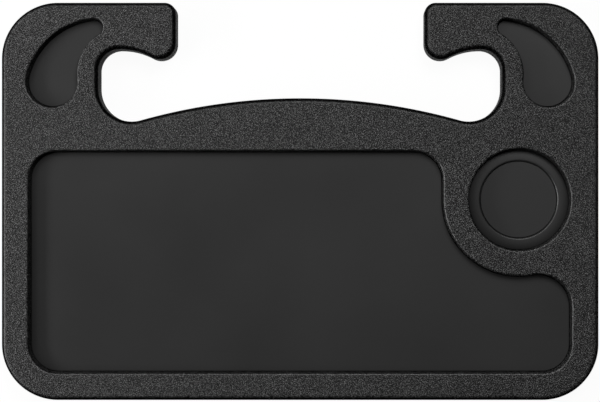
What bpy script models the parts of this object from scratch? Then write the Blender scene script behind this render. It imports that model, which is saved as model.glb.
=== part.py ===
"""A steering wheel tray, lying on its back: X runs across it, Y towards its hooks, Z up out of its desk side.

Two moulded half shells meet in a lapped joint at mid height. Screws driven down through the floors
of the recesses hold them together, and smooth inlays cover the screws. All lengths are in metres.
"""

import math
from collections import namedtuple

import bmesh
import bpy
from mathutils import Matrix, Vector

# The tray as a whole
TRAY_WIDTH = 0.425
TRAY_DEPTH = 0.283
TRAY_THICKNESS = 0.020
CORNER_RADIUS = 0.040
EDGE_RADIUS = 0.0033
BORDER = 0.0195

# The arms, the slots for the wheel rim and the hooks, from each side inwards
ARM_WIDTH = 0.0687
SLOT_WIDTH = 0.0553
SLOT_HEIGHT = 0.0514
SLOT_CORNER_RADIUS = 0.0152
SLOT_HEEL_RADIUS = 0.0237
HOOK_BAR = 0.0332
HOOK_DROP = 0.0072
HOOK_CORNER_RADIUS = 0.0104
HOOK_TIP_RADIUS = 0.0118
CROWN_RISE = 0.0166

# The desk recess, with its bite around the cup well
DESK_TOP_LAND = 0.0209
DESK_CORNER_RADIUS = 0.018
SHELF_CORNER_RADIUS = 0.019
SHELF_ROUND_SHARE = 0.45
CUP_RADIUS = 0.0363
CUP_BORDER = 0.0202
CUP_PLACE_SHARE = 0.78
CUP_PAD_RADIUS = 0.0272
GUARD_WIDTH = 0.0179

# The comma-shaped pockets in the arms
POCKET_SIDE_LAND = 0.0177
POCKET_SLOT_LAND = 0.0145
POCKET_TOP_LAND = 0.0115
POCKET_DROP = 0.0563
POCKET_TIP_SETBACK = 0.0025
POCKET_TIP_RADIUS = 0.0061
POCKET_OUTER_RADIUS = 0.055
POCKET_INNER_RADIUS = 0.0332

# Walls, recesses and the lapped joint between the shells
WALL = 0.0022
WELL_DEPTH = 0.0086
WELL_DRAFT = 0.0005
RIM_RADIUS = 0.0023
JOINT_GAP = 0.0003
LAP_LIP = 0.0009
LAP_HEIGHT = 0.0020

# The inlays
FIT = 0.0003
PANEL_THICKNESS = 0.0015
PANEL_EDGE = 0.0004
CUP_RING_THICKNESS = 0.0023
CUP_RING_EDGE = 0.0014
CUP_RING_FALL = 0.0006
CUP_PAD_THICKNESS = 0.0008
REVERSE_PANEL_THICKNESS = 0.0010
REVERSE_RECESS = 0.0015

# Ribs inside both shells
RIB_PITCH = 0.048
RIB_THICKNESS = 0.0014
RIB_HEIGHT_SHARE = 0.5
FRONT_RIB_CLEARANCE = 0.0004

# Screws, and what they pass through
SCREW_INSET = 0.0145
SCREW_SEAT_SHARE = 0.3
SCREW_HEAD_RADIUS = 0.0028
SCREW_HEAD_HEIGHT = 0.0015
SCREW_HEAD_SINK = 0.0002
SCREW_HEAD_CHAMFER = 0.0004
SCREW_SHANK_RADIUS = 0.0013
SCREW_POINT = 0.0006
SCREW_FIT = 0.0003
SCREW_FLOOR = 0.0012
BOSS_WALL = 0.0020
CROSS_LENGTH = 0.0032
CROSS_WIDTH = 0.0007
CROSS_DEPTH = 0.0007

# How finely curves are faceted, and how far cutters run past what they cut
FACET_DEVIATION = 0.00018
ROUND_STEPS = 3
SCREW_SIDES = 12
OVERRUN = 0.004
MERGE = 0.0000001

# Heights above the surface that the tray lies on
JOINT_HEIGHT = TRAY_THICKNESS / 2
WELL_FLOOR = TRAY_THICKNESS - WELL_DEPTH
WELL_UNDERSIDE = WELL_FLOOR - WALL
REVERSE_SKIN_TOP = REVERSE_RECESS + WALL
INNER_SPACE = WELL_UNDERSIDE - REVERSE_SKIN_TOP
SEAT_UNDERSIDE = WELL_UNDERSIDE - SCREW_SEAT_SHARE * INNER_SPACE
BOSS_TOP = SEAT_UNDERSIDE - FIT
RIB_TOP = REVERSE_SKIN_TOP + RIB_HEIGHT_SHARE * INNER_SPACE
SCREW_HEAD_TOP = WELL_FLOOR - SCREW_HEAD_SINK
SCREW_HEAD_UNDER = SCREW_HEAD_TOP - SCREW_HEAD_HEIGHT
PILOT_FLOOR = REVERSE_RECESS + SCREW_FLOOR

# Places across the tray, from its centre
SIDE = TRAY_WIDTH / 2
TOP = TRAY_DEPTH / 2
SLOT_WALL = SIDE - ARM_WIDTH
HOOK_END = SLOT_WALL - SLOT_WIDTH
SLOT_TOP = TOP - HOOK_BAR
SLOT_BOTTOM = SLOT_TOP - SLOT_HEIGHT
DESK_SIDE = SIDE - BORDER
DESK_BOTTOM = BORDER - TOP
DESK_TOP = SLOT_BOTTOM - DESK_TOP_LAND
CUP_X = SIDE - CUP_BORDER - CUP_RADIUS
CUP_Y = DESK_BOTTOM + CUP_PLACE_SHARE * (DESK_TOP - DESK_BOTTOM)
GUARD_RADIUS = CUP_RADIUS + GUARD_WIDTH

QUARTER = math.pi / 2

Arc = namedtuple("Arc", "x y radius start end")


def clear_scene():
    for thing in list(bpy.data.objects):
        bpy.data.objects.remove(thing)


def new_collection(name):
    collection = bpy.data.collections.new(name)
    bpy.context.scene.collection.children.link(collection)
    return collection


def new_object(name, bm, collection):
    """The finished bmesh as an object with outward faces."""
    bmesh.ops.recalc_face_normals(bm, faces=bm.faces)
    mesh = bpy.data.meshes.new(name)
    bm.to_mesh(mesh)
    bm.free()
    thing = bpy.data.objects.new(name, mesh)
    collection.objects.link(thing)
    return thing


def plastic(name, grey, roughness):
    material = bpy.data.materials.new(name)
    material.use_nodes = True
    shader = material.node_tree.nodes["Principled BSDF"]
    shader.inputs["Base Color"].default_value = (grey, grey, grey, 1)
    shader.inputs["Roughness"].default_value = roughness
    return material


def metal(name, grey, roughness):
    material = plastic(name, grey, roughness)
    material.node_tree.nodes["Principled BSDF"].inputs["Metallic"].default_value = 1
    return material


# Outlines are chains of arcs, joined by straight lines where they don't touch


def heading(here, there):
    return math.atan2(there[1] - here[1], there[0] - here[0])


def bulge(centre, radius, start, end):
    """An arc that runs counter-clockwise, so that the outline bulges there."""
    return Arc(*centre, radius, start, start + (end - start) % (2 * math.pi))


def hollow(centre, radius, start, end):
    """An arc that runs clockwise, so that the outline is hollow there."""
    return Arc(*centre, radius, start, start - (start - end) % (2 * math.pi))


def mirrored(arcs):
    """The same chain on the other side of X = 0, still counter-clockwise."""
    return [Arc(-a.x, a.y, a.radius, math.pi - a.end, math.pi - a.start) for a in reversed(arcs)]


def facets(radius, sweep):
    """How many straight facets an arc of this radius takes."""
    return max(2, math.ceil(abs(sweep) / (2 * math.acos(1 - FACET_DEVIATION / radius))))


def outline(arcs, inset=0):
    """Points around the chain, drawn in by inset: exact, because each arc keeps its centre."""
    points = []
    for arc in arcs:
        sweep = arc.end - arc.start
        steps = facets(arc.radius, sweep)
        radius = arc.radius - inset if sweep > 0 else arc.radius + inset
        for step in range(steps + 1):
            angle = arc.start + sweep * step / steps
            point = (arc.x + radius * math.cos(angle), arc.y + radius * math.sin(angle))
            if not points or math.dist(point, points[-1]) > MERGE:
                points.append(point)
    if math.dist(points[0], points[-1]) <= MERGE:
        points.pop()
    return points


def touching_centre(first, second, first_reach, second_reach):
    """The point at these distances from two others, on the left of the way from the first to the second."""
    apart = math.dist(first, second)
    along = (apart**2 + first_reach**2 - second_reach**2) / (2 * apart)
    aside = math.sqrt(first_reach**2 - along**2)
    way = (Vector(second) - Vector(first)) / apart
    return tuple(Vector(first) + along * way + aside * Vector((-way.y, way.x)))


def tray_arcs():
    """The tray's own outline, with a hook and a rim slot on each side and the crowned edge between them."""
    low_corner = (SIDE - CORNER_RADIUS, CORNER_RADIUS - TOP)
    high_corner = (SIDE - CORNER_RADIUS, TOP - CORNER_RADIUS)
    hook_corner = (HOOK_END + HOOK_CORNER_RADIUS, TOP - HOOK_CORNER_RADIUS)
    tip = (HOOK_END + HOOK_TIP_RADIUS, SLOT_TOP - HOOK_DROP + HOOK_TIP_RADIUS)
    slot_corner = (SLOT_WALL - SLOT_CORNER_RADIUS, SLOT_TOP - SLOT_CORNER_RADIUS)
    heel = (SLOT_WALL - SLOT_HEEL_RADIUS, SLOT_BOTTOM + SLOT_HEEL_RADIUS)
    # The slot's roof touches the hook's tip, and is level where it meets the slot's corner
    across = slot_corner[0] - tip[0]
    above = tip[1] - SLOT_TOP
    roof_radius = (across**2 + above**2 - HOOK_TIP_RADIUS**2) / (2 * HOOK_DROP)
    roof = (slot_corner[0], SLOT_TOP - roof_radius)
    # The crown touches both heels, and is level at the middle of the tray
    above = heel[1] - SLOT_BOTTOM - CROWN_RISE
    crown_radius = (heel[0] ** 2 + above**2 - SLOT_HEEL_RADIUS**2) / (2 * CROWN_RISE)
    crown = (0, SLOT_BOTTOM + CROWN_RISE - crown_radius)
    half = [
        bulge(low_corner, CORNER_RADIUS, -QUARTER, 0),
        bulge(high_corner, CORNER_RADIUS, 0, QUARTER),
        bulge(hook_corner, HOOK_CORNER_RADIUS, QUARTER, math.pi),
        bulge(tip, HOOK_TIP_RADIUS, math.pi, heading(tip, roof)),
        hollow(roof, roof_radius, heading(roof, tip), QUARTER),
        hollow(slot_corner, SLOT_CORNER_RADIUS, QUARTER, 0),
        hollow(heel, SLOT_HEEL_RADIUS, 0, heading(heel, crown)),
        bulge(crown, crown_radius, heading(crown, heel), QUARTER),
    ]
    return half + mirrored(half)


def desk_arcs():
    """The desk recess: a rounded rectangle that gives way to the cup's guard and runs on below it as a shelf."""
    radius = DESK_CORNER_RADIUS
    cup = (CUP_X, CUP_Y)
    # Both corners of the shelf leave some straight wall between them, however shallow the shelf is
    shelf_depth = CUP_Y - GUARD_RADIUS - DESK_BOTTOM
    low_radius = min(radius, SHELF_ROUND_SHARE * shelf_depth)
    shelf_radius = min(SHELF_CORNER_RADIUS, SHELF_ROUND_SHARE * shelf_depth)
    shelf_x = DESK_SIDE - shelf_radius
    reach = GUARD_RADIUS + shelf_radius
    shelf = (shelf_x, CUP_Y - math.sqrt(reach**2 - (shelf_x - CUP_X) ** 2))
    return [
        bulge((radius - DESK_SIDE, DESK_BOTTOM + radius), radius, math.pi, -QUARTER),
        bulge((DESK_SIDE - low_radius, DESK_BOTTOM + low_radius), low_radius, -QUARTER, 0),
        bulge(shelf, shelf_radius, 0, heading(shelf, cup)),
        hollow(cup, GUARD_RADIUS, heading(cup, shelf), math.pi),
        bulge((CUP_X - GUARD_RADIUS - radius, DESK_TOP - radius), radius, 0, QUARTER),
        bulge((radius - DESK_SIDE, DESK_TOP - radius), radius, QUARTER, math.pi),
    ]


def reverse_arcs():
    """The recess in the tray's back: the desk's rectangle, whole."""
    radius = DESK_CORNER_RADIUS
    return [
        bulge((radius - DESK_SIDE, DESK_BOTTOM + radius), radius, math.pi, -QUARTER),
        bulge((DESK_SIDE - radius, DESK_BOTTOM + radius), radius, -QUARTER, 0),
        bulge((DESK_SIDE - radius, DESK_TOP - radius), radius, 0, QUARTER),
        bulge((radius - DESK_SIDE, DESK_TOP - radius), radius, QUARTER, math.pi),
    ]


def cup_arcs():
    return [Arc(CUP_X, CUP_Y, CUP_RADIUS, 0, 2 * math.pi)]


def pocket_heart():
    """Centre and radius of the right pocket's round end, which fills the arm between its two lands."""
    radius = (ARM_WIDTH - POCKET_SIDE_LAND - POCKET_SLOT_LAND) / 2
    return (SIDE - POCKET_SIDE_LAND - radius, TOP - POCKET_DROP), radius


def pocket_arcs():
    """The right pocket: a round end and a small tip, with a bulging arc outside and a hollow one inside."""
    end, end_radius = pocket_heart()
    tip = (SLOT_WALL + POCKET_TIP_SETBACK, TOP - POCKET_TOP_LAND - POCKET_TIP_RADIUS)
    outer = touching_centre(
        end, tip, POCKET_OUTER_RADIUS - end_radius, POCKET_OUTER_RADIUS - POCKET_TIP_RADIUS
    )
    inner = touching_centre(
        end, tip, POCKET_INNER_RADIUS + end_radius, POCKET_INNER_RADIUS + POCKET_TIP_RADIUS
    )
    return [
        bulge(outer, POCKET_OUTER_RADIUS, heading(outer, end), heading(outer, tip)),
        bulge(tip, POCKET_TIP_RADIUS, heading(outer, tip), heading(tip, inner)),
        hollow(inner, POCKET_INNER_RADIUS, heading(inner, tip), heading(inner, end)),
        bulge(end, end_radius, heading(end, inner), heading(outer, end)),
    ]


# Solids


def loft(name, arcs, levels, collection):
    """A closed body through one outline at each (height, inset) of the levels, from the bottom up."""
    bm = bmesh.new()
    rings = []
    for height, inset in levels:
        rings.append([bm.verts.new((x, y, height)) for x, y in outline(arcs, inset)])
    for low, high in zip(rings, rings[1:]):
        for i in range(len(low)):
            bm.faces.new((low[i - 1], low[i], high[i], high[i - 1]))
    bm.faces.new(rings[0])
    bm.faces.new(rings[-1])
    return new_object(name, bm, collection)


def rounded_top(height, inset, radius, steps=ROUND_STEPS):
    """Levels of a rounded upper edge, from where the side ends to the flat top."""
    levels = []
    for step in range(steps + 1):
        angle = QUARTER * step / steps
        levels.append((height - radius + radius * math.sin(angle), inset + radius - radius * math.cos(angle)))
    return levels


def recess_levels(floor):
    """Levels of a recess cutter: a drafted wall that opens in a rounded rim, and then runs clear."""
    levels = [(floor, WELL_DRAFT)]
    levels += [(height, -inset) for height, inset in rounded_top(TRAY_THICKNESS, 0, RIM_RADIUS)]
    levels.append((TRAY_THICKNESS + OVERRUN, -RIM_RADIUS))
    return levels


def casing_levels(floor):
    """Levels of the wall and floor around a recess, up into the shell's skin."""
    return [(floor - WALL, WELL_DRAFT - WALL), (TRAY_THICKNESS - WALL / 2, -WALL)]


def panel_levels(bottom, top, inset):
    return [(bottom, inset)] + rounded_top(top, inset, PANEL_EDGE, steps=2)


def bars(name, spans, collection):
    """Boxes between pairs of opposite corners, as one mesh."""
    bm = bmesh.new()
    for low, high in spans:
        size = Vector(high) - Vector(low)
        middle = (Vector(high) + Vector(low)) / 2
        bmesh.ops.create_cube(bm, size=1, matrix=Matrix.LocRotScale(middle, None, size))
    return new_object(name, bm, collection)


def posts(name, places, radius, bottom, top, collection):
    """Round bars of one size at each place, as one mesh."""
    bm = bmesh.new()
    for x, y in places:
        bmesh.ops.create_cone(
            bm,
            cap_ends=True,
            segments=SCREW_SIDES,
            radius1=radius,
            radius2=radius,
            depth=top - bottom,
            matrix=Matrix.Translation((x, y, (top + bottom) / 2)),
        )
    return new_object(name, bm, collection)


def turned(name, profile, closed, sides, collection):
    """The profile, as (radius, height) down its outer side, turned about Z."""
    bm = bmesh.new()
    points = [bm.verts.new((radius, 0, height)) for radius, height in profile]
    for low, high in zip(points, points[1:] + points[:1] if closed else points[1:]):
        bm.edges.new((low, high))
    mesh = bpy.data.meshes.new(name)
    bm.to_mesh(mesh)
    bm.free()
    thing = bpy.data.objects.new(name, mesh)
    collection.objects.link(thing)
    screw = thing.modifiers.new("Turn", "SCREW")
    screw.steps = sides
    screw.render_steps = sides
    screw.use_merge_vertices = True
    screw.merge_threshold = MERGE
    return thing


def boolean(thing, operation, tool):
    modifier = thing.modifiers.new(tool.name, "BOOLEAN")
    modifier.operation = operation
    modifier.solver = "EXACT"
    modifier.object = tool


def cut(thing, *tools):
    for tool in tools:
        boolean(thing, "DIFFERENCE", tool)


def join(thing, *tools):
    for tool in tools:
        boolean(thing, "UNION", tool)


# Where things repeat


def rib_lines(length):
    """Places of evenly pitched ribs, centred, that fit in this length."""
    count = int(length / RIB_PITCH)
    return [(i - (count - 1) / 2) * RIB_PITCH for i in range(count)]


def rib_spans(bottom, top):
    """Boxes of the ribs along Y and of those along X, longer than the tray: its walls trim them."""
    half = RIB_THICKNESS / 2
    along_y = [((x - half, -TOP, bottom), (x + half, TOP, top)) for x in rib_lines(TRAY_WIDTH)]
    along_x = [((-SIDE, y - half, bottom), (SIDE, y + half, top)) for y in rib_lines(TRAY_DEPTH)]
    return along_y, along_x


def spread(first, last, count):
    return [first + (last - first) * i / (count - 1) for i in range(count)]


def screw_places():
    """Four screws along the bottom of the desk, three along its top, two between them, and one in each well."""
    left = SCREW_INSET - DESK_SIDE
    low = DESK_BOTTOM + SCREW_INSET
    high = DESK_TOP - SCREW_INSET
    guard = CUP_X - GUARD_RADIUS - SCREW_INSET
    places = [(x, low) for x in spread(left, -left, 4)]
    places += [(x, high) for x in spread(left, guard, 3)]
    places += [(x, (low + high) / 2) for x in (left, (left + guard) / 2)]
    (pocket_x, pocket_y), _ = pocket_heart()
    places += [(CUP_X, CUP_Y), (pocket_x, pocket_y), (-pocket_x, pocket_y)]
    return places


# The pieces


def front_shell(parts, cutters, places):
    """The desk side: an open shell with the recesses let into it and a seat for each screw under their floors."""
    low = JOINT_HEIGHT + JOINT_GAP / 2
    lap_top = low + LAP_HEIGHT
    ceiling = TRAY_THICKNESS - WALL
    arcs = tray_arcs()
    shell = loft("front_shell", arcs, [(low, 0)] + rounded_top(TRAY_THICKNESS, 0, EDGE_RADIUS), parts)
    hollow_levels = [(low - OVERRUN, LAP_LIP), (lap_top, LAP_LIP), (lap_top, WALL), (ceiling, WALL)]
    space = loft("front_space", arcs, hollow_levels, cutters)
    along_y, along_x = rib_spans(lap_top + FRONT_RIB_CLEARANCE, TRAY_THICKNESS - WALL / 2)
    cut(space, bars("front_ribs_y", along_y, cutters), bars("front_ribs_x", along_x, cutters))
    cut(shell, space)
    wells = {"desk": desk_arcs(), "cup": cup_arcs(), "right_pocket": pocket_arcs()}
    wells["left_pocket"] = mirrored(pocket_arcs())
    for name, well in wells.items():
        join(shell, loft(name + "_casing", well, casing_levels(WELL_FLOOR), cutters))
    seat_radius = SCREW_HEAD_RADIUS + SCREW_FIT + WALL
    seat_top = WELL_FLOOR - WALL / 2
    join(shell, posts("screw_seats", places, seat_radius, SEAT_UNDERSIDE, seat_top, cutters))
    for name, well in wells.items():
        cut(shell, loft(name + "_recess", well, recess_levels(WELL_FLOOR), cutters))
    head_radius = SCREW_HEAD_RADIUS + SCREW_FIT
    head_floor = SCREW_HEAD_UNDER - FIT
    cut(shell, posts("head_recesses", places, head_radius, head_floor, WELL_FLOOR + OVERRUN, cutters))
    hole_radius = SCREW_SHANK_RADIUS + SCREW_FIT
    hole_bottom = SEAT_UNDERSIDE - OVERRUN
    cut(shell, posts("screw_holes", places, hole_radius, hole_bottom, WELL_FLOOR, cutters))
    return shell


def back_shell(parts, cutters, places):
    """The flat side: a shell with the lap's tongue around its edge, and with ribs and screw bosses inside."""
    high = JOINT_HEIGHT - JOINT_GAP / 2
    tongue_top = JOINT_HEIGHT + JOINT_GAP / 2 + LAP_HEIGHT - FIT
    tongue = LAP_LIP + FIT
    arcs = tray_arcs()
    rounding = [(TRAY_THICKNESS - height, inset) for height, inset in rounded_top(TRAY_THICKNESS, 0, EDGE_RADIUS)]
    levels = rounding[::-1] + [(high, 0), (high, tongue), (tongue_top, tongue)]
    shell = loft("back_shell", arcs, levels, parts)
    space = loft("back_space", arcs, [(WALL, WALL), (tongue_top + OVERRUN, WALL)], cutters)
    reverse = reverse_arcs()
    raised = [(0, -WALL), (REVERSE_SKIN_TOP, -WALL)]
    along_y, along_x = rib_spans(0, RIB_TOP)
    cut(space, loft("raised_floor", reverse, raised, cutters))
    cut(space, bars("back_ribs_y", along_y, cutters), bars("back_ribs_x", along_x, cutters))
    pilot_radius = SCREW_SHANK_RADIUS + SCREW_FIT
    cut(space, posts("screw_bosses", places, pilot_radius + BOSS_WALL, 0, BOSS_TOP, cutters))
    cut(shell, space)
    cut(shell, loft("reverse_recess", reverse, [(-OVERRUN, 0), (REVERSE_RECESS, 0)], cutters))
    cut(shell, posts("pilot_holes", places, pilot_radius, PILOT_FLOOR, BOSS_TOP + OVERRUN, cutters))
    return shell


def front_panels(parts):
    """The smooth inlays of the desk and of both pockets."""
    bottom = WELL_FLOOR + FIT
    levels = panel_levels(bottom, bottom + PANEL_THICKNESS, WELL_DRAFT + FIT)
    return [
        loft("desk_panel", desk_arcs(), levels, parts),
        loft("right_pocket_panel", pocket_arcs(), levels, parts),
        loft("left_pocket_panel", mirrored(pocket_arcs()), levels, parts),
    ]


def reverse_panel(parts):
    """The smooth inlay of the tray's back, just below the land that the tray rests on."""
    top = REVERSE_RECESS - FIT
    bottom = top - REVERSE_PANEL_THICKNESS
    levels = [(bottom + top - height, inset) for height, inset in panel_levels(bottom, top, FIT)]
    return loft("reverse_panel", reverse_arcs(), levels[::-1], parts)


def cup_ring(parts):
    """The ledge around the cup pad: rounded over at its inner edge, and falling away to the wall of the well."""
    bottom = WELL_FLOOR + FIT
    top = bottom + CUP_RING_THICKNESS
    outside = CUP_RADIUS - WELL_DRAFT - FIT
    inside = CUP_PAD_RADIUS + FIT
    profile = [(inside + inset, height) for height, inset in rounded_top(top, 0, CUP_RING_EDGE)]
    crest = profile[-1][0]
    for step in range(1, ROUND_STEPS + 1):
        share = step / ROUND_STEPS
        profile.append((crest + share * (outside - crest), top - CUP_RING_FALL * share**2))
    profile += [(outside, bottom), (inside, bottom)]
    ring = turned("cup_ring", profile, True, facets(CUP_RADIUS, 2 * math.pi), parts)
    ring.location = (CUP_X, CUP_Y, 0)
    return ring


def cup_pad(parts):
    """The round pad that the cup stands on, one step below the ledge."""
    bottom = WELL_FLOOR + FIT
    top = bottom + CUP_PAD_THICKNESS
    inner = CUP_PAD_RADIUS - PANEL_EDGE
    profile = [(0, top), (inner, top), (CUP_PAD_RADIUS, top - PANEL_EDGE), (CUP_PAD_RADIUS, bottom), (0, bottom)]
    pad = turned("cup_pad", profile, False, facets(CUP_RADIUS, 2 * math.pi), parts)
    pad.location = (CUP_X, CUP_Y, 0)
    return pad


def screws(parts, cutters, places):
    """Self-tapping screws, from one mesh: a chamfered head with a cross in it, and a plain shank."""
    shank_end = PILOT_FLOOR + FIT
    profile = [
        (0, SCREW_HEAD_TOP),
        (SCREW_HEAD_RADIUS - SCREW_HEAD_CHAMFER, SCREW_HEAD_TOP),
        (SCREW_HEAD_RADIUS, SCREW_HEAD_TOP - SCREW_HEAD_CHAMFER),
        (SCREW_HEAD_RADIUS, SCREW_HEAD_UNDER),
        (SCREW_SHANK_RADIUS, SCREW_HEAD_UNDER),
        (SCREW_SHANK_RADIUS, shank_end + SCREW_POINT),
        (0, shank_end),
    ]
    model = turned("screw_blank", profile, False, SCREW_SIDES, parts)
    cross_floor = SCREW_HEAD_TOP - CROSS_DEPTH
    cross_top = SCREW_HEAD_TOP + OVERRUN
    long, short = CROSS_LENGTH / 2, CROSS_WIDTH / 2
    cut(model, bars("cross_x", [((-long, -short, cross_floor), (long, short, cross_top))], cutters))
    cut(model, bars("cross_y", [((-short, -long, cross_floor), (short, long, cross_top))], cutters))
    bpy.context.view_layer.update()
    graph = bpy.context.evaluated_depsgraph_get()
    mesh = bpy.data.meshes.new_from_object(model.evaluated_get(graph))
    mesh.name = "screw"
    bpy.data.objects.remove(model)
    made = []
    for number, (x, y) in enumerate(places, 1):
        screw = bpy.data.objects.new(f"screw_{number:02d}", mesh)
        screw.location = (x, y, 0)
        parts.objects.link(screw)
        made.append(screw)
    return made


def finish(things, material):
    """Gives the pieces their material, and shades them smooth but for their true edges."""
    for mesh in {thing.data for thing in things}:
        mesh.materials.clear()
        mesh.materials.append(material)
        mesh.shade_smooth()
        mesh.set_sharp_from_angle(angle=QUARTER / 2)


def main():
    clear_scene()
    parts = new_collection("steering_wheel_tray")
    cutters = new_collection("cutters")
    places = screw_places()
    shells = [front_shell(parts, cutters, places), back_shell(parts, cutters, places)]
    inlays = front_panels(parts) + [reverse_panel(parts), cup_ring(parts), cup_pad(parts)]
    fasteners = screws(parts, cutters, places)
    finish(shells, plastic("grained_black_plastic", 0.045, 0.55))
    finish(inlays, plastic("satin_black_plastic", 0.034, 0.4))
    finish(fasteners, metal("zinc_plated_steel", 0.5, 0.35))
    for tool in cutters.objects:
        tool.hide_render = True
        tool.display_type = "WIRE"


main()
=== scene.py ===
"""The looks of a steering wheel tray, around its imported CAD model.

The shells and the inlays are made again here, from the model's own sizes but with finer curves, and
every piece gets its finish. X runs across the tray, Y towards its hooks, Z up out of its desk side.
All lengths are in metres.
"""

import math
from collections import namedtuple

import bmesh
import bpy
from mathutils import Matrix, Vector


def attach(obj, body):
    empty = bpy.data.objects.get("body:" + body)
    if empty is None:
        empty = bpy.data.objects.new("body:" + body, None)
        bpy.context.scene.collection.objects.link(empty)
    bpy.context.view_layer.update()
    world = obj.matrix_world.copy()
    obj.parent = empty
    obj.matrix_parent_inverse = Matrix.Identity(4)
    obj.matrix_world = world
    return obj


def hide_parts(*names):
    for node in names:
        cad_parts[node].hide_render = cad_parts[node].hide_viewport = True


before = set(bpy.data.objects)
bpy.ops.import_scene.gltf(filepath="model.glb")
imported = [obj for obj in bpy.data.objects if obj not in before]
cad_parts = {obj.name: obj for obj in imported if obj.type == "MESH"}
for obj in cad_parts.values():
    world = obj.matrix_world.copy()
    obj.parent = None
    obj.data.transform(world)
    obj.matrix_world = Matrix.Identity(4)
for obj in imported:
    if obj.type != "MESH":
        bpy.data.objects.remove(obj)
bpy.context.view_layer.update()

# The tray as a whole
TRAY_WIDTH = 0.425
TRAY_DEPTH = 0.283
TRAY_THICKNESS = 0.020
CORNER_RADIUS = 0.040
BACK_EDGE_RADIUS = 0.0033
FRONT_EDGE_RADIUS = 0.0045
BORDER = 0.0195

# The arms, the slots for the wheel rim and the hooks, from each side inwards
ARM_WIDTH = 0.0687
SLOT_WIDTH = 0.0553
SLOT_HEIGHT = 0.0514
SLOT_CORNER_RADIUS = 0.0152
SLOT_HEEL_RADIUS = 0.0237
HOOK_BAR = 0.0332
HOOK_DROP = 0.0072
HOOK_CORNER_RADIUS = 0.0080
HOOK_TIP_RADIUS = 0.0118
CROWN_RISE = 0.0166

# The desk recess, with its bite around the cup well
DESK_TOP_LAND = 0.0209
DESK_CORNER_RADIUS = 0.0205
SHELF_CORNER_RADIUS = 0.023
CUP_RADIUS = 0.0363
CUP_BORDER = 0.0202
CUP_PLACE_SHARE = 0.78
CUP_PAD_RADIUS = 0.0272
GUARD_WIDTH = 0.0179

# The comma-shaped pockets in the arms
POCKET_SIDE_LAND = 0.0177
POCKET_SLOT_LAND = 0.0145
POCKET_TOP_LAND = 0.0115
POCKET_DROP = 0.0563
POCKET_TIP_SETBACK = 0.0025
POCKET_TIP_RADIUS = 0.0061
POCKET_OUTER_RADIUS = 0.055
POCKET_INNER_RADIUS = 0.0332

# Walls, recesses and the lapped joint between the shells
WALL = 0.0022
WELL_DEPTH = 0.0086
WELL_DRAFT = 0.0005
RIM_RADIUS = 0.0016
JOINT_GAP = 0.0003
LAP_LIP = 0.0009
LAP_HEIGHT = 0.0020

# The inlays
FIT = 0.0003
PANEL_THICKNESS = 0.0015
PANEL_EDGE = 0.0004
CUP_RING_THICKNESS = 0.0023
CUP_RING_EDGE = 0.0014
CUP_RING_FALL = 0.0010
CUP_PAD_THICKNESS = 0.0008
REVERSE_PANEL_THICKNESS = 0.0010
REVERSE_RECESS = 0.0015

# Ribs, and the seats and bosses of the screws
RIB_PITCH = 0.048
RIB_THICKNESS = 0.0014
RIB_HEIGHT_SHARE = 0.5
FRONT_RIB_CLEARANCE = 0.0004
SCREW_INSET = 0.0145
SCREW_SEAT_SHARE = 0.3
SCREW_HEAD_RADIUS = 0.0028
SCREW_HEAD_HEIGHT = 0.0015
SCREW_HEAD_SINK = 0.0002
SCREW_SHANK_RADIUS = 0.0013
SCREW_FIT = 0.0003
SCREW_FLOOR = 0.0012
BOSS_WALL = 0.0020

# How finely curves are faceted, how mould edges are broken, and how far cutters run past what they cut
FACET_DEVIATION = 0.00001
ROUND_STEPS = 8
POST_SIDES = 48
EDGE_BREAK = 0.0002
OVERRUN = 0.004
MERGE = 0.0000001
SMOOTH_ANGLE = math.radians(33)

# The material slot of a shell's outer wall and its rounded edge
OUTSIDE = 1

# Heights above the surface that the tray lies on
JOINT_HEIGHT = TRAY_THICKNESS / 2
WELL_FLOOR = TRAY_THICKNESS - WELL_DEPTH
WELL_UNDERSIDE = WELL_FLOOR - WALL
REVERSE_SKIN_TOP = REVERSE_RECESS + WALL
INNER_SPACE = WELL_UNDERSIDE - REVERSE_SKIN_TOP
SEAT_UNDERSIDE = WELL_UNDERSIDE - SCREW_SEAT_SHARE * INNER_SPACE
BOSS_TOP = SEAT_UNDERSIDE - FIT
RIB_TOP = REVERSE_SKIN_TOP + RIB_HEIGHT_SHARE * INNER_SPACE
SCREW_HEAD_UNDER = WELL_FLOOR - SCREW_HEAD_SINK - SCREW_HEAD_HEIGHT
PILOT_FLOOR = REVERSE_RECESS + SCREW_FLOOR

# Places across the tray, from its centre
SIDE = TRAY_WIDTH / 2
TOP = TRAY_DEPTH / 2
SLOT_WALL = SIDE - ARM_WIDTH
HOOK_END = SLOT_WALL - SLOT_WIDTH
SLOT_TOP = TOP - HOOK_BAR
SLOT_BOTTOM = SLOT_TOP - SLOT_HEIGHT
DESK_SIDE = SIDE - BORDER
DESK_BOTTOM = BORDER - TOP
DESK_TOP = SLOT_BOTTOM - DESK_TOP_LAND
CUP_X = SIDE - CUP_BORDER - CUP_RADIUS
CUP_Y = DESK_BOTTOM + CUP_PLACE_SHARE * (DESK_TOP - DESK_BOTTOM)
GUARD_RADIUS = CUP_RADIUS + GUARD_WIDTH

QUARTER = math.pi / 2

Arc = namedtuple("Arc", "x y radius start end")


# Outlines are chains of arcs, joined by straight lines where they don't touch


def heading(here, there):
    return math.atan2(there[1] - here[1], there[0] - here[0])


def bulge(centre, radius, start, end):
    """An arc that runs counter-clockwise, so that the outline bulges there."""
    return Arc(*centre, radius, start, start + (end - start) % (2 * math.pi))


def hollow(centre, radius, start, end):
    """An arc that runs clockwise, so that the outline is hollow there."""
    return Arc(*centre, radius, start, start - (start - end) % (2 * math.pi))


def mirrored(arcs):
    """The same chain on the other side of X = 0, still counter-clockwise."""
    return [Arc(-a.x, a.y, a.radius, math.pi - a.end, math.pi - a.start) for a in reversed(arcs)]


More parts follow.
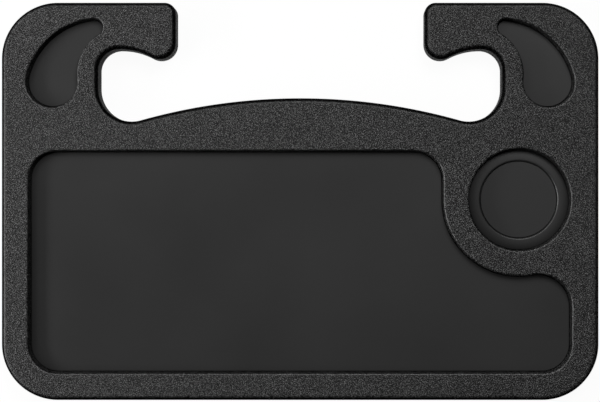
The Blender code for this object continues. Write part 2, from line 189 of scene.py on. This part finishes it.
def facets(radius, sweep):
    """How many straight facets an arc of this radius takes."""
    return max(2, math.ceil(abs(sweep) / (2 * math.acos(1 - FACET_DEVIATION / radius))))


def outline(arcs, inset=0):
    """Points around the chain, drawn in by inset: exact, because each arc keeps its centre."""
    points = []
    for arc in arcs:
        sweep = arc.end - arc.start
        steps = facets(arc.radius, sweep)
        radius = arc.radius - inset if sweep > 0 else arc.radius + inset
        for step in range(steps + 1):
            angle = arc.start + sweep * step / steps
            point = (arc.x + radius * math.cos(angle), arc.y + radius * math.sin(angle))
            if not points or math.dist(point, points[-1]) > MERGE:
                points.append(point)
    if math.dist(points[0], points[-1]) <= MERGE:
        points.pop()
    return points


def touching_centre(first, second, first_reach, second_reach):
    """The point at these distances from two others, on the left of the way from the first to the second."""
    apart = math.dist(first, second)
    along = (apart**2 + first_reach**2 - second_reach**2) / (2 * apart)
    aside = math.sqrt(first_reach**2 - along**2)
    way = (Vector(second) - Vector(first)) / apart
    return tuple(Vector(first) + along * way + aside * Vector((-way.y, way.x)))


def tray_arcs():
    """The tray's own outline, with a hook and a rim slot on each side and the crowned edge between them."""
    low_corner = (SIDE - CORNER_RADIUS, CORNER_RADIUS - TOP)
    high_corner = (SIDE - CORNER_RADIUS, TOP - CORNER_RADIUS)
    hook_corner = (HOOK_END + HOOK_CORNER_RADIUS, TOP - HOOK_CORNER_RADIUS)
    tip = (HOOK_END + HOOK_TIP_RADIUS, SLOT_TOP - HOOK_DROP + HOOK_TIP_RADIUS)
    slot_corner = (SLOT_WALL - SLOT_CORNER_RADIUS, SLOT_TOP - SLOT_CORNER_RADIUS)
    heel = (SLOT_WALL - SLOT_HEEL_RADIUS, SLOT_BOTTOM + SLOT_HEEL_RADIUS)
    # The slot's roof touches the hook's tip, and is level where it meets the slot's corner
    across = slot_corner[0] - tip[0]
    above = tip[1] - SLOT_TOP
    roof_radius = (across**2 + above**2 - HOOK_TIP_RADIUS**2) / (2 * HOOK_DROP)
    roof = (slot_corner[0], SLOT_TOP - roof_radius)
    # The crown touches both heels, and is level at the middle of the tray
    above = heel[1] - SLOT_BOTTOM - CROWN_RISE
    crown_radius = (heel[0] ** 2 + above**2 - SLOT_HEEL_RADIUS**2) / (2 * CROWN_RISE)
    crown = (0, SLOT_BOTTOM + CROWN_RISE - crown_radius)
    half = [
        bulge(low_corner, CORNER_RADIUS, -QUARTER, 0),
        bulge(high_corner, CORNER_RADIUS, 0, QUARTER),
        bulge(hook_corner, HOOK_CORNER_RADIUS, QUARTER, math.pi),
        bulge(tip, HOOK_TIP_RADIUS, math.pi, heading(tip, roof)),
        hollow(roof, roof_radius, heading(roof, tip), QUARTER),
        hollow(slot_corner, SLOT_CORNER_RADIUS, QUARTER, 0),
        hollow(heel, SLOT_HEEL_RADIUS, 0, heading(heel, crown)),
        bulge(crown, crown_radius, heading(crown, heel), QUARTER),
    ]
    return half + mirrored(half)


def desk_arcs():
    """The desk recess: a rounded rectangle that gives way to the cup's guard, with a shelf below it."""
    radius = DESK_CORNER_RADIUS
    cup = (CUP_X, CUP_Y)
    shelf_x = DESK_SIDE - SHELF_CORNER_RADIUS
    reach = GUARD_RADIUS + SHELF_CORNER_RADIUS
    shelf = (shelf_x, CUP_Y - math.sqrt(reach**2 - (shelf_x - CUP_X) ** 2))
    return [
        bulge((radius - DESK_SIDE, DESK_BOTTOM + radius), radius, math.pi, -QUARTER),
        bulge((DESK_SIDE - radius, DESK_BOTTOM + radius), radius, -QUARTER, 0),
        bulge(shelf, SHELF_CORNER_RADIUS, 0, heading(shelf, cup)),
        hollow(cup, GUARD_RADIUS, heading(cup, shelf), math.pi),
        bulge((CUP_X - GUARD_RADIUS - radius, DESK_TOP - radius), radius, 0, QUARTER),
        bulge((radius - DESK_SIDE, DESK_TOP - radius), radius, QUARTER, math.pi),
    ]


def reverse_arcs():
    """The recess in the tray's back: the desk's rectangle, whole."""
    radius = DESK_CORNER_RADIUS
    return [
        bulge((radius - DESK_SIDE, DESK_BOTTOM + radius), radius, math.pi, -QUARTER),
        bulge((DESK_SIDE - radius, DESK_BOTTOM + radius), radius, -QUARTER, 0),
        bulge((DESK_SIDE - radius, DESK_TOP - radius), radius, 0, QUARTER),
        bulge((radius - DESK_SIDE, DESK_TOP - radius), radius, QUARTER, math.pi),
    ]


def cup_arcs():
    return [Arc(CUP_X, CUP_Y, CUP_RADIUS, 0, 2 * math.pi)]


def pocket_heart():
    """Centre and radius of the right pocket's round end, which fills the arm between its two lands."""
    radius = (ARM_WIDTH - POCKET_SIDE_LAND - POCKET_SLOT_LAND) / 2
    return (SIDE - POCKET_SIDE_LAND - radius, TOP - POCKET_DROP), radius


def pocket_arcs():
    """The right pocket: a round end and a small tip, with a bulging arc outside and a hollow one inside."""
    end, end_radius = pocket_heart()
    tip = (SLOT_WALL + POCKET_TIP_SETBACK, TOP - POCKET_TOP_LAND - POCKET_TIP_RADIUS)
    outer = touching_centre(
        end, tip, POCKET_OUTER_RADIUS - end_radius, POCKET_OUTER_RADIUS - POCKET_TIP_RADIUS
    )
    inner = touching_centre(
        end, tip, POCKET_INNER_RADIUS + end_radius, POCKET_INNER_RADIUS + POCKET_TIP_RADIUS
    )
    return [
        bulge(outer, POCKET_OUTER_RADIUS, heading(outer, end), heading(outer, tip)),
        bulge(tip, POCKET_TIP_RADIUS, heading(outer, tip), heading(tip, inner)),
        hollow(inner, POCKET_INNER_RADIUS, heading(inner, tip), heading(inner, end)),
        bulge(end, end_radius, heading(end, inner), heading(outer, end)),
    ]


# Solids


def new_object(name, bm):
    """The finished bmesh as an object with outward faces."""
    bmesh.ops.recalc_face_normals(bm, faces=bm.faces)
    mesh = bpy.data.meshes.new(name)
    bm.to_mesh(mesh)
    bm.free()
    thing = bpy.data.objects.new(name, mesh)
    bpy.context.scene.collection.objects.link(thing)
    return thing


def loft(name, arcs, levels, side_material=0):
    """A closed body through one outline at each (height, inset) of the levels, from the bottom up."""
    bm = bmesh.new()
    rings = []
    for height, inset in levels:
        rings.append([bm.verts.new((x, y, height)) for x, y in outline(arcs, inset)])
    for low, high in zip(rings, rings[1:]):
        for i in range(len(low)):
            bm.faces.new((low[i - 1], low[i], high[i], high[i - 1])).material_index = side_material
    bm.faces.new(rings[0])
    bm.faces.new(rings[-1])
    return new_object(name, bm)


def rounded_top(height, inset, radius, steps=ROUND_STEPS):
    """Levels of a rounded upper edge, from where the side ends to the flat top."""
    levels = []
    for step in range(steps + 1):
        angle = QUARTER * step / steps
        levels.append((height - radius + radius * math.sin(angle), inset + radius - radius * math.cos(angle)))
    return levels


def recess_levels(floor):
    """Levels of a recess cutter: a drafted wall that opens in a rounded rim, and then runs clear."""
    levels = [(floor, WELL_DRAFT)]
    levels += [(height, -inset) for height, inset in rounded_top(TRAY_THICKNESS, 0, RIM_RADIUS)]
    levels.append((TRAY_THICKNESS + OVERRUN, -RIM_RADIUS))
    return levels


def casing_levels(floor):
    """Levels of the wall and floor around a recess, up into the shell's skin."""
    return [(floor - WALL, WELL_DRAFT - WALL), (TRAY_THICKNESS - WALL / 2, -WALL)]


def panel_levels(bottom, top, inset):
    return [(bottom, inset)] + rounded_top(top, inset, PANEL_EDGE, ROUND_STEPS // 2)


def bars(name, spans):
    """Boxes between pairs of opposite corners, as one mesh."""
    bm = bmesh.new()
    for low, high in spans:
        size = Vector(high) - Vector(low)
        middle = (Vector(high) + Vector(low)) / 2
        bmesh.ops.create_cube(bm, size=1, matrix=Matrix.LocRotScale(middle, None, size))
    return new_object(name, bm)


def posts(name, places, radius, bottom, top):
    """Round bars of one size at each place, as one mesh."""
    bm = bmesh.new()
    for x, y in places:
        bmesh.ops.create_cone(
            bm,
            cap_ends=True,
            segments=POST_SIDES,
            radius1=radius,
            radius2=radius,
            depth=top - bottom,
            matrix=Matrix.Translation((x, y, (top + bottom) / 2)),
        )
    return new_object(name, bm)


def turned(name, profile, closed, sides):
    """The profile, as (radius, height) down its outer side, turned about the cup's axis."""
    bm = bmesh.new()
    rings = []
    for radius, height in profile:
        if radius == 0:
            rings.append([bm.verts.new((CUP_X, CUP_Y, height))] * sides)
            continue
        ring = []
        for step in range(sides):
            angle = 2 * math.pi * step / sides
            place = (CUP_X + radius * math.cos(angle), CUP_Y + radius * math.sin(angle), height)
            ring.append(bm.verts.new(place))
        rings.append(ring)
    for high, low in zip(rings, rings[1:] + rings[:1] if closed else rings[1:]):
        for i in range(sides):
            corners = dict.fromkeys((high[i - 1], high[i], low[i], low[i - 1]))
            bm.faces.new(corners)
    return new_object(name, bm)


def combine(thing, operation, tools):
    """Joins the tools to the piece or cuts them out of it, and removes them."""
    for tool in tools:
        modifier = thing.modifiers.new(tool.name, "BOOLEAN")
        modifier.operation = operation
        modifier.solver = "MANIFOLD"
        modifier.object = tool
    graph = bpy.context.evaluated_depsgraph_get()
    mesh = bpy.data.meshes.new_from_object(thing.evaluated_get(graph))
    thing.modifiers.clear()
    thing.data = mesh
    for tool in tools:
        bpy.data.objects.remove(tool)


def cut(thing, *tools):
    combine(thing, "DIFFERENCE", tools)


def join(thing, *tools):
    combine(thing, "UNION", tools)


# Where things repeat


def rib_lines(length):
    """Places of evenly pitched ribs, centred, that fit in this length."""
    count = int(length / RIB_PITCH)
    return [(i - (count - 1) / 2) * RIB_PITCH for i in range(count)]


def rib_spans(bottom, top):
    """Boxes of the ribs along Y and of those along X, longer than the tray: its walls trim them."""
    half = RIB_THICKNESS / 2
    along_y = [((x - half, -TOP, bottom), (x + half, TOP, top)) for x in rib_lines(TRAY_WIDTH)]
    along_x = [((-SIDE, y - half, bottom), (SIDE, y + half, top)) for y in rib_lines(TRAY_DEPTH)]
    return along_y, along_x


def spread(first, last, count):
    return [first + (last - first) * i / (count - 1) for i in range(count)]


def screw_places():
    """Four screws along the desk's bottom, three along its top, two between them, one in each well."""
    left = SCREW_INSET - DESK_SIDE
    low = DESK_BOTTOM + SCREW_INSET
    high = DESK_TOP - SCREW_INSET
    guard = CUP_X - GUARD_RADIUS - SCREW_INSET
    places = [(x, low) for x in spread(left, -left, 4)]
    places += [(x, high) for x in spread(left, guard, 3)]
    places += [(x, (low + high) / 2) for x in (left, (left + guard) / 2)]
    (pocket_x, pocket_y), _ = pocket_heart()
    places += [(CUP_X, CUP_Y), (pocket_x, pocket_y), (-pocket_x, pocket_y)]
    return places


# The pieces


def front_shell(places):
    """The desk side: an open shell with recesses let into it, and a seat for each screw below them."""
    low = JOINT_HEIGHT + JOINT_GAP / 2
    lap_top = low + LAP_HEIGHT
    ceiling = TRAY_THICKNESS - WALL
    arcs = tray_arcs()
    levels = [(low, EDGE_BREAK), (low + EDGE_BREAK, 0)]
    levels += rounded_top(TRAY_THICKNESS, 0, FRONT_EDGE_RADIUS)
    shell = loft("front_shell_fine", arcs, levels, OUTSIDE)
    hollow_levels = [(low - OVERRUN, LAP_LIP), (lap_top, LAP_LIP), (lap_top, WALL), (ceiling, WALL)]
    space = loft("front_space", arcs, hollow_levels)
    along_y, along_x = rib_spans(lap_top + FRONT_RIB_CLEARANCE, TRAY_THICKNESS - WALL / 2)
    cut(space, bars("front_ribs_y", along_y), bars("front_ribs_x", along_x))
    cut(shell, space)
    wells = {"desk": desk_arcs(), "cup": cup_arcs(), "right_pocket": pocket_arcs()}
    wells["left_pocket"] = mirrored(pocket_arcs())
    casings = [loft(name + "_casing", well, casing_levels(WELL_FLOOR)) for name, well in wells.items()]
    join(shell, *casings)
    seat_radius = SCREW_HEAD_RADIUS + SCREW_FIT + WALL
    join(shell, posts("screw_seats", places, seat_radius, SEAT_UNDERSIDE, WELL_FLOOR - WALL / 2))
    recesses = [loft(name + "_recess", well, recess_levels(WELL_FLOOR)) for name, well in wells.items()]
    cut(shell, *recesses)
    head_radius = SCREW_HEAD_RADIUS + SCREW_FIT
    hole_radius = SCREW_SHANK_RADIUS + SCREW_FIT
    cut(
        shell,
        posts("head_recesses", places, head_radius, SCREW_HEAD_UNDER - FIT, WELL_FLOOR + OVERRUN),
        posts("screw_holes", places, hole_radius, SEAT_UNDERSIDE - OVERRUN, WELL_FLOOR),
    )
    return shell


def back_shell(places):
    """The flat side: a shell with the lap's tongue around its edge, and with ribs and screw bosses inside."""
    high = JOINT_HEIGHT - JOINT_GAP / 2
    tongue_top = JOINT_HEIGHT + JOINT_GAP / 2 + LAP_HEIGHT - FIT
    tongue = LAP_LIP + FIT
    arcs = tray_arcs()
    edge = rounded_top(TRAY_THICKNESS, 0, BACK_EDGE_RADIUS)
    levels = [(TRAY_THICKNESS - height, inset) for height, inset in edge[::-1]]
    levels += [(high - EDGE_BREAK, 0), (high, EDGE_BREAK), (high, tongue), (tongue_top, tongue)]
    shell = loft("back_shell_fine", arcs, levels, OUTSIDE)
    space = loft("back_space", arcs, [(WALL, WALL), (tongue_top + OVERRUN, WALL)])
    reverse = reverse_arcs()
    along_y, along_x = rib_spans(0, RIB_TOP)
    pilot_radius = SCREW_SHANK_RADIUS + SCREW_FIT
    cut(
        space,
        loft("raised_floor", reverse, [(0, -WALL), (REVERSE_SKIN_TOP, -WALL)]),
        bars("back_ribs_y", along_y),
        bars("back_ribs_x", along_x),
        posts("screw_bosses", places, pilot_radius + BOSS_WALL, 0, BOSS_TOP),
    )
    recess = [(-OVERRUN, -EDGE_BREAK), (0, -EDGE_BREAK), (EDGE_BREAK, 0), (REVERSE_RECESS, 0)]
    cut(
        shell,
        space,
        loft("reverse_recess", reverse, recess),
        posts("pilot_holes", places, pilot_radius, PILOT_FLOOR, BOSS_TOP + OVERRUN),
    )
    return shell


def inlays():
    """The smooth inlays, by the name of the CAD node that each stands for."""
    bottom = WELL_FLOOR + FIT
    levels = panel_levels(bottom, bottom + PANEL_THICKNESS, WELL_DRAFT + FIT)
    made = {
        "desk_panel": loft("desk_panel_fine", desk_arcs(), levels),
        "right_pocket_panel": loft("right_pocket_panel_fine", pocket_arcs(), levels),
        "left_pocket_panel": loft("left_pocket_panel_fine", mirrored(pocket_arcs()), levels),
    }
    top = REVERSE_RECESS - FIT
    bottom = top - REVERSE_PANEL_THICKNESS
    levels = [(bottom + top - height, inset) for height, inset in panel_levels(bottom, top, FIT)]
    made["reverse_panel"] = loft("reverse_panel_fine", reverse_arcs(), levels[::-1])
    return made


def cup_ring():
    """The ledge around the cup pad: rounded over at its inner edge, and falling away to the well's wall."""
    bottom = WELL_FLOOR + FIT
    top = bottom + CUP_RING_THICKNESS
    outside = CUP_RADIUS - WELL_DRAFT - FIT
    inside = CUP_PAD_RADIUS + FIT
    profile = [(inside + inset, height) for height, inset in rounded_top(top, 0, CUP_RING_EDGE)]
    crest = profile[-1][0]
    for step in range(1, ROUND_STEPS + 1):
        share = step / ROUND_STEPS
        profile.append((crest + share * (outside - crest), top - CUP_RING_FALL * share**2))
    profile += [(outside, bottom), (inside, bottom)]
    return turned("cup_ring_fine", profile, True, facets(CUP_RADIUS, 2 * math.pi))


def cup_pad():
    """The round pad that the cup stands on, one step below the ledge."""
    bottom = WELL_FLOOR + FIT
    top = bottom + CUP_PAD_THICKNESS
    rounding = rounded_top(top, 0, PANEL_EDGE, ROUND_STEPS // 2)
    edge = [(CUP_PAD_RADIUS - inset, height) for height, inset in rounding]
    profile = [(0, top)] + edge[::-1] + [(CUP_PAD_RADIUS, bottom), (0, bottom)]
    return turned("cup_pad_fine", profile, False, facets(CUP_RADIUS, 2 * math.pi))


# Finishes. Slopes are given by their uprightness, which is 1 where a surface lies flat and 0 on a wall.
# A tone is a grey or a share of one, a gloss is a specular level, and a polish is what roughness loses.


# The range that a noise mostly keeps to
NOISE_RANGE = (0.3, 0.7)

# The shells: pebbles and finer grain between them, in broad clouds, smoother on rims and walls
GRAIN_SIZE = 0.00068
GRAIN_DEPTH = 0.00045
GRAIN_TONES = (0.001, 0.147)
GRAIN_CONTRAST = 1.7
GRAIN_HEIGHTS = (0.16, 0.50)
PEBBLE_HEIGHT = -0.9
PEBBLE_BLEND = 0.3
FINE_HEIGHT = 1.3
FINE_SCALE = 1.2
GRAIN_CLOUD_SCALE = 14
GRAIN_CLOUDS = (0.92, 1.08)
GRAIN_ROUGHNESS = (0.48, 0.54)
GRAIN_GLOSS = 0.25
RIM_SLOPES = (0.995, 0.93)
RIM_GRAIN = 0.3
RIM_POLISH = 0.16
WALL_SLOPES = (0.45, 0.2)
# Painted light: the walls' tone is raised by this much, so that they read lighter
WALL_PAINTED_LIGHT = 0.25
WALL_GLOSS = 0.004

# The inlays: satin in broad clouds, dimmer where it slopes as painted shade, with waves, specks and scratches
SATIN_TONES = (0.0200, 0.0245)
SATIN_CLOUD_SCALE = 9
SATIN_ROUGHNESS = (0.45, 0.50)
SATIN_GLOSS = (0.15, 0.6)
SATIN_RIM_POLISH = 0.12
SATIN_PAINTED_SHADE_SLOPES = (0.999, 0.955)
SATIN_PAINTED_SHADE_TONE = 0.6
SATIN_RELIEF = 0.00002
SATIN_WAVES = (22, 3)
SATIN_SPECKS = (2600, 0.5)
SCRATCH_STRETCH = (9, 1500, 9)
SCRATCH_RANGE = (0.66, 0.8)
SCRATCH_TONE = 0.003
SCRATCH_POLISH = 0.06

# The screws
STEEL_MOTTLE_SCALE = 1800
STEEL_TONES = (0.42, 0.56)
STEEL_ROUGHNESS = (0.30, 0.45)

# The floor
FLOOR_TONE = 0.9
FLOOR_WHITE_SHARE = 0.95


class Nodes:
    """A material being put together: makes nodes, sets their sockets and links them."""

    def __init__(self, name):
        self.material = bpy.data.materials.new(name)
        self.material.use_nodes = True
        self.tree = self.material.node_tree
        self.tree.nodes.clear()

    def add(self, kind, settings=None, **sockets):
        node = self.tree.nodes.new(kind)
        for key, value in (settings or {}).items():
            setattr(node, key, value)
        for key, value in sockets.items():
            self.feed(node, key.replace("_", " "), value)
        return node

    def feed(self, node, key, value):
        """Links another node's output to the socket, or sets it to a plain value."""
        socket = node.inputs[int(key)] if key.isdigit() else node.inputs[key]
        if isinstance(value, bpy.types.NodeSocket):
            self.tree.links.new(value, socket)
        else:
            socket.default_value = value

    def maths(self, operation, *values):
        node = self.tree.nodes.new("ShaderNodeMath")
        node.operation = operation
        for place, value in enumerate(values):
            self.feed(node, str(place), value)
        return node.outputs[0]

    def ranged(self, value, from_low, from_high, to_low, to_high):
        """The value moved from one range to another, and kept within it."""
        node = self.tree.nodes.new("ShaderNodeMapRange")
        for place, given in enumerate((value, from_low, from_high, to_low, to_high)):
            self.feed(node, str(place), given)
        return node.outputs[0]

    def noise(self, place, scale, detail):
        return self.add("ShaderNodeTexNoise", Vector=place, Scale=scale, Detail=detail).outputs["Fac"]

    def varied(self, noise, low, high):
        """The noise, moved from its usual range to this one."""
        return self.ranged(noise, *NOISE_RANGE, low, high)

    def upright(self, texture):
        """1 where the surface lies flat, either way up, and 0 on a wall."""
        parts = self.add("ShaderNodeSeparateXYZ", Vector=texture["Normal"]).outputs
        return self.maths("ABSOLUTE", parts["Z"])

    def grey(self, value):
        """A grey colour of this value."""
        node = self.tree.nodes.new("ShaderNodeCombineColor")
        for place in range(3):
            self.tree.links.new(value, node.inputs[place])
        return node.outputs[0]

    def done(self, shader):
        output = self.tree.nodes.new("ShaderNodeOutputMaterial")
        self.tree.links.new(shader, output.inputs["Surface"])
        return self.material


def grained_plastic(name, painted_shade_steps, rim_gloss, dull_slopes):
    """Black plastic with the pebbled grain of a spark-eroded mould, smoother on its rims and walls.

    The painted shade steps darken its tone towards steeper slopes, as (from, to, share of tone
    there): painted shade on rims and rounded edges. The walls are lightened by painted light, and over
    the dull slopes the gloss of the rim fades.
    """
    nodes = Nodes(name)
    texture = nodes.add("ShaderNodeTexCoord").outputs
    place = texture["Object"]
    upright = nodes.upright(texture)
    rim = nodes.ranged(upright, *RIM_SLOPES, 0, 1)
    wall = nodes.ranged(upright, *WALL_SLOPES, 0, 1)
    pebbles = nodes.add(
        "ShaderNodeTexVoronoi",
        {"feature": "SMOOTH_F1"},
        Vector=place,
        Scale=1 / GRAIN_SIZE,
        Smoothness=PEBBLE_BLEND,
        Randomness=1,
    ).outputs["Distance"]
    fine = nodes.noise(place, FINE_SCALE / GRAIN_SIZE, 2)
    height = nodes.maths(
        "ADD", nodes.maths("MULTIPLY", pebbles, PEBBLE_HEIGHT), nodes.maths("MULTIPLY", fine, FINE_HEIGHT)
    )
    relief = nodes.ranged(rim, 0, 1, 1, RIM_GRAIN)
    bump = nodes.add("ShaderNodeBump", Height=height, Distance=GRAIN_DEPTH, Strength=relief)
    specks = nodes.maths("POWER", nodes.ranged(height, *GRAIN_HEIGHTS, 0, 1), GRAIN_CONTRAST)
    clouds = nodes.noise(place, GRAIN_CLOUD_SCALE, 3)
    tone = nodes.varied(clouds, *GRAIN_CLOUDS)
    # Painted shade: each step darkens the tone where the surface slopes, on rims and rounded edges
    for slope_from, slope_to, share in painted_shade_steps:
        tone = nodes.maths("MULTIPLY", tone, nodes.ranged(upright, slope_from, slope_to, 1, share))
    # Painted light: the walls are made lighter
    tone = nodes.maths("ADD", tone, nodes.maths("MULTIPLY", wall, WALL_PAINTED_LIGHT))
    base = nodes.maths("MULTIPLY", nodes.ranged(specks, 0, 1, *GRAIN_TONES), tone)
    rough = nodes.varied(clouds, *GRAIN_ROUGHNESS)
    rough = nodes.maths("SUBTRACT", rough, nodes.maths("MULTIPLY", rim, RIM_POLISH))
    gloss = nodes.ranged(rim, 0, 1, GRAIN_GLOSS, rim_gloss)
    gloss = nodes.maths("MULTIPLY", gloss, nodes.ranged(upright, *dull_slopes, 1, 0))
    gloss = nodes.maths("ADD", gloss, nodes.maths("MULTIPLY", wall, WALL_GLOSS))
    shader = nodes.add(
        "ShaderNodeBsdfPrincipled",
        Base_Color=nodes.grey(base),
        Roughness=rough,
        Specular_IOR_Level=gloss,
        Normal=bump.outputs["Normal"],
    )
    return nodes.done(shader.outputs[0])


def satin_plastic(name, gloss_slopes):
    """Smooth black plastic with a satin sheen, faintly uneven, with a few fine scratches."""
    nodes = Nodes(name)
    texture = nodes.add("ShaderNodeTexCoord").outputs
    place = texture["Object"]
    upright = nodes.upright(texture)
    rim = nodes.ranged(upright, *gloss_slopes, 0, 1)
    height = 0
    for (scale, weight), detail in ((SATIN_WAVES, 2), (SATIN_SPECKS, 1)):
        layer = nodes.maths("MULTIPLY", nodes.noise(place, scale, detail), weight)
        height = nodes.maths("ADD", layer, height)
    bump = nodes.add("ShaderNodeBump", Height=height, Distance=SATIN_RELIEF, Strength=1)
    stretched = nodes.add("ShaderNodeMapping", Vector=place, Scale=SCRATCH_STRETCH).outputs[0]
    scratches = nodes.ranged(nodes.noise(stretched, 1, 2), *SCRATCH_RANGE, 0, 1)
    clouds = nodes.noise(place, SATIN_CLOUD_SCALE, 3)
    base = nodes.varied(clouds, *SATIN_TONES)
    base = nodes.maths("ADD", base, nodes.maths("MULTIPLY", scratches, SCRATCH_TONE))
    # Painted shade: the base darkens where the surface slopes, on the ledge's fall and the rounded edges
    base = nodes.maths("MULTIPLY", base, nodes.ranged(upright, *SATIN_PAINTED_SHADE_SLOPES, 1, SATIN_PAINTED_SHADE_TONE))
    rough = nodes.varied(clouds, *SATIN_ROUGHNESS)
    rough = nodes.maths("SUBTRACT", rough, nodes.maths("MULTIPLY", scratches, SCRATCH_POLISH))
    rough = nodes.maths("SUBTRACT", rough, nodes.maths("MULTIPLY", rim, SATIN_RIM_POLISH))
    shader = nodes.add(
        "ShaderNodeBsdfPrincipled",
        Base_Color=nodes.grey(base),
        Roughness=rough,
        Specular_IOR_Level=nodes.ranged(rim, 0, 1, *SATIN_GLOSS),
        Normal=bump.outputs["Normal"],
    )
    return nodes.done(shader.outputs[0])


def screw_steel():
    """Zinc-plated steel, faintly mottled."""
    nodes = Nodes("zinc_plated_steel")
    mottle = nodes.noise(nodes.add("ShaderNodeTexCoord").outputs["Object"], STEEL_MOTTLE_SCALE, 3)
    shader = nodes.add(
        "ShaderNodeBsdfPrincipled",
        Base_Color=nodes.grey(nodes.varied(mottle, *STEEL_TONES)),
        Metallic=1,
        Roughness=nodes.varied(mottle, *STEEL_ROUGHNESS),
    )
    return nodes.done(shader.outputs[0])


def white_floor():
    """White where it is seen, but for a soft shadow, and a plain white surface to all other light."""
    nodes = Nodes("white_floor")
    path = nodes.add("ShaderNodeLightPath").outputs
    seen = nodes.maths("ADD", path["Is Camera Ray"], path["Is Glossy Ray"])
    seen = nodes.maths("MINIMUM", nodes.maths("ADD", seen, path["Is Transmission Ray"]), 1)
    surface = nodes.add("ShaderNodeBsdfDiffuse", Color=(FLOOR_TONE, FLOOR_TONE, FLOOR_TONE, 1)).outputs[0]
    glow = nodes.add("ShaderNodeEmission", Color=(1, 1, 1, 1), Strength=1).outputs[0]
    mix = nodes.add("ShaderNodeMixShader")
    nodes.feed(mix, "0", nodes.maths("MULTIPLY", seen, FLOOR_WHITE_SHARE))
    nodes.feed(mix, "1", surface)
    nodes.feed(mix, "2", glow)
    return nodes.done(mix.outputs[0])


def dress(thing, materials, node):
    """Finishes a new piece: its materials and shading, the body it rides on, the CAD node it stands for."""
    slots = thing.data.materials
    while len(slots) < len(materials):
        slots.append(None)
    for place, material in enumerate(materials):
        slots[place] = material
    thing.data.shade_smooth()
    thing.data.set_sharp_from_angle(angle=SMOOTH_ANGLE)
    weighted = thing.modifiers.new("Weighted", "WEIGHTED_NORMAL")
    weighted.keep_sharp = True
    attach(thing, "root")
    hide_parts(node)


def soft_lamp(name, location, size, power):
    """A soft square or strip of light that faces the tray."""
    data = bpy.data.lights.new(name, "AREA")
    data.shape = "RECTANGLE"
    data.size, data.size_y = size
    data.energy = power
    lamp = bpy.data.objects.new(name, data)
    lamp.location = location
    lamp.rotation_euler = (-Vector(location)).to_track_quat("-Z", "Y").to_euler()
    bpy.context.scene.collection.objects.link(lamp)


# The tray
places = screw_places()
# The steps darken the steep recess rims and the outer rounded edges as painted shade
grained = [
    grained_plastic(
        "grained_black_plastic",
        painted_shade_steps=[(0.80, 0.45, 0.35)],
        rim_gloss=0.42,
        dull_slopes=(0.7, 0.3),
    ),
    grained_plastic(
        "dull_black_edge_painted_shade",
        painted_shade_steps=[(0.99, 0.90, 0.4), (0.90, 0.75, 0.25)],
        rim_gloss=0.4,
        dull_slopes=(0.96, 0.82),
    ),
]
satin = [satin_plastic("satin_black_plastic", gloss_slopes=(0.94, 0.85))]
satin_ledge = [satin_plastic("satin_black_ledge", gloss_slopes=(0.955, 0.92))]
steel = screw_steel()
dress(front_shell(places), grained, "front_shell")
dress(back_shell(places), grained, "back_shell")
for node, panel in inlays().items():
    dress(panel, satin, node)
dress(cup_ring(), satin_ledge, "cup_ring")
dress(cup_pad(), satin, "cup_pad")
for node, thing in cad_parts.items():
    if node.startswith("screw_"):
        for slot in thing.material_slots:
            slot.material = steel

# The floor
FLOOR_SIZE = 24
floor_bm = bmesh.new()
bmesh.ops.create_grid(floor_bm, x_segments=1, y_segments=1, size=FLOOR_SIZE / 2)
floor = new_object("floor", floor_bm)
floor.data.materials.append(white_floor())

# Light
WORLD_LEVEL = 0.01
# Name, place, width and height, and power in watts
LAMPS = [
    ("back", (0.30, 0.60, 1.10), (0.5, 0.5), 8.8),
    ("low_back", (0.15, 0.80, 0.80), (0.6, 0.4), 2.0),
    ("corner", (-0.60, 0.70, 0.90), (0.5, 0.5), 3.8),
    ("left", (-0.85, -0.10, 0.70), (0.8, 0.35), 2.5),
    ("low_left", (-0.95, -0.12, 0.38), (0.8, 0.15), 8.0),
]
world = bpy.data.worlds.new("studio")
bpy.context.scene.world = world
world.use_nodes = True
background = world.node_tree.nodes["Background"].inputs
background["Color"].default_value = (1, 1, 1, 1)
background["Strength"].default_value = WORLD_LEVEL
for lamp in LAMPS:
    soft_lamp(*lamp)

# The camera looks straight down from a little right of the tray's middle, and its frame is shifted back
CAMERA_X = 0.030
CAMERA_HEIGHT = 0.9666
LENS = 80.05
SENSOR_WIDTH = 36
SHIFT_X = -0.0705
SHIFT_Y = 0.0006
camera_data = bpy.data.cameras.new("camera")
camera_data.lens = LENS
camera_data.sensor_width = SENSOR_WIDTH
camera_data.shift_x = SHIFT_X
camera_data.shift_y = SHIFT_Y
camera = bpy.data.objects.new("camera", camera_data)
camera.location = (CAMERA_X, 0, CAMERA_HEIGHT)
bpy.context.scene.collection.objects.link(camera)
bpy.context.scene.camera = camera
bpy.context.scene.view_settings.view_transform = "Standard"
